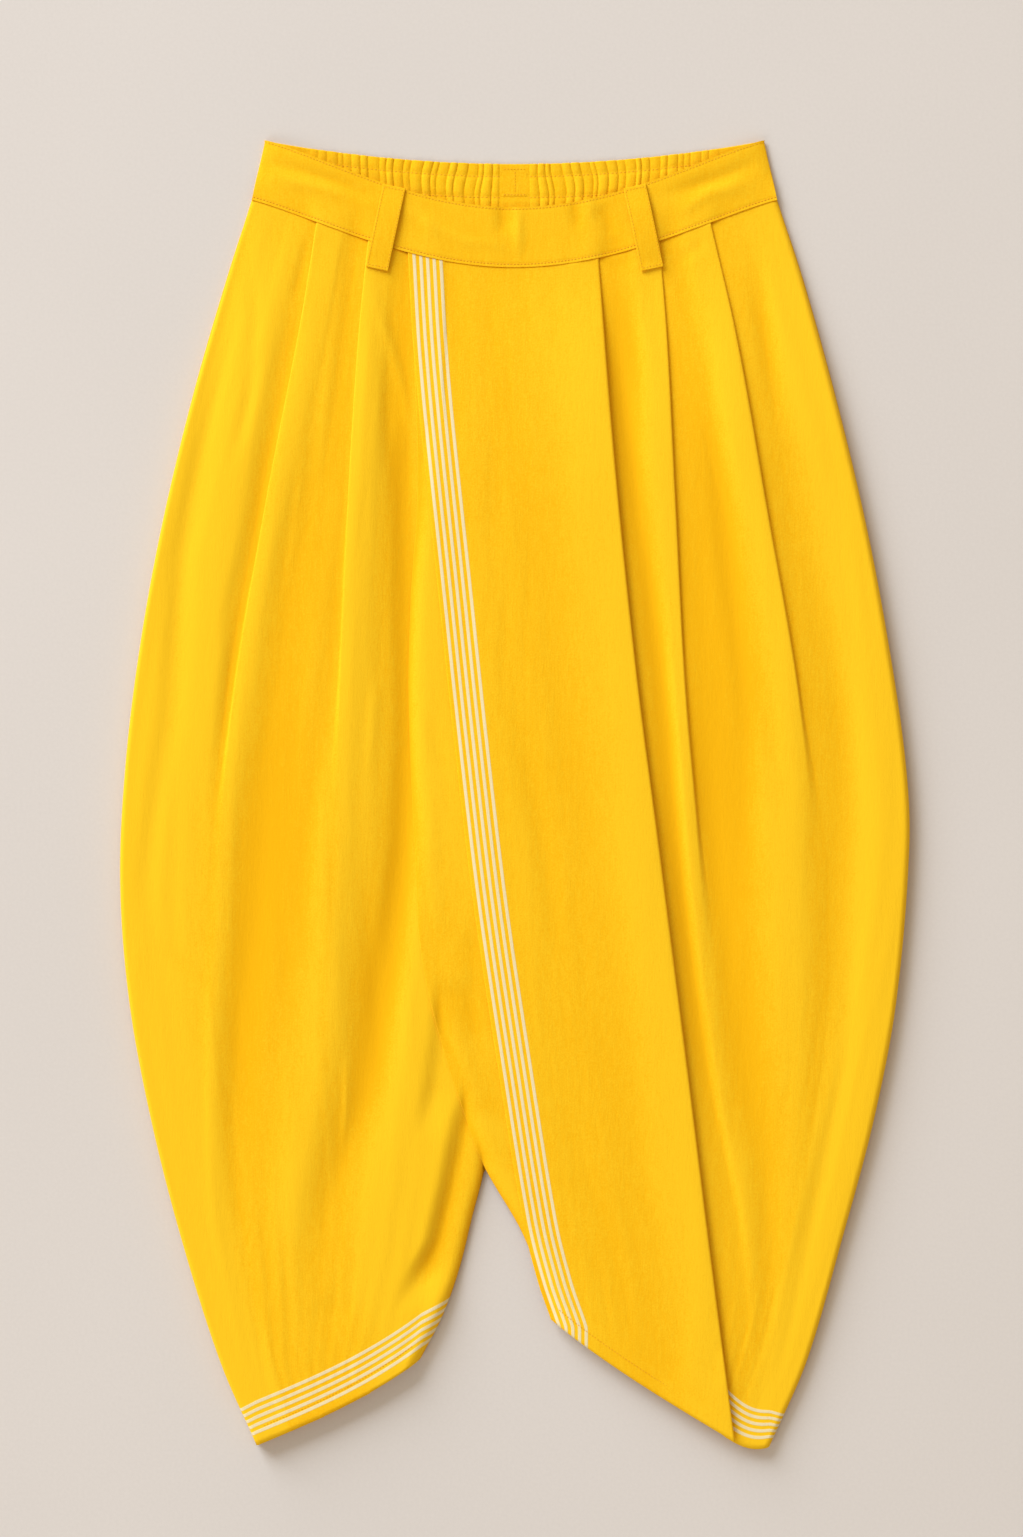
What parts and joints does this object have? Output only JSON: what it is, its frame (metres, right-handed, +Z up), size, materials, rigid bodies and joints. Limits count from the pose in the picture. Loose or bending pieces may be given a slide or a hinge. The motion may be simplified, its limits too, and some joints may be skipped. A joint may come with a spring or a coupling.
{
  "type": "stitched dhoti trousers",
  "caption": "Pre-stitched pleated dhoti trousers laid flat, with a bordered wrap panel, a gathered back band and belt loops.",
  "frame": {"origin": "on the surface that the garment lies on, under the middle of its outline", "axes": "+X towards the wearer's left, +Y from the hems to the waist, +Z up out of the surface, with the front of the garment upwards"},
  "size_m": [0.6071, 1.0056, 0.019],
  "materials": {
    "yellow_twill": "matt cotton twill, golden yellow, with woven cream border stripes"
  },
  "bodies": {
    "root": {"right_back": "yellow_twill", "left_back": "yellow_twill", "right_front": "yellow_twill", "left_front": "yellow_twill", "wrap_panel": "yellow_twill", "front_band": "yellow_twill", "back_band": "yellow_twill", "back_tab": "yellow_twill", "right_belt_loop": "yellow_twill", "left_belt_loop": "yellow_twill"}
  },
  "joints": []
}
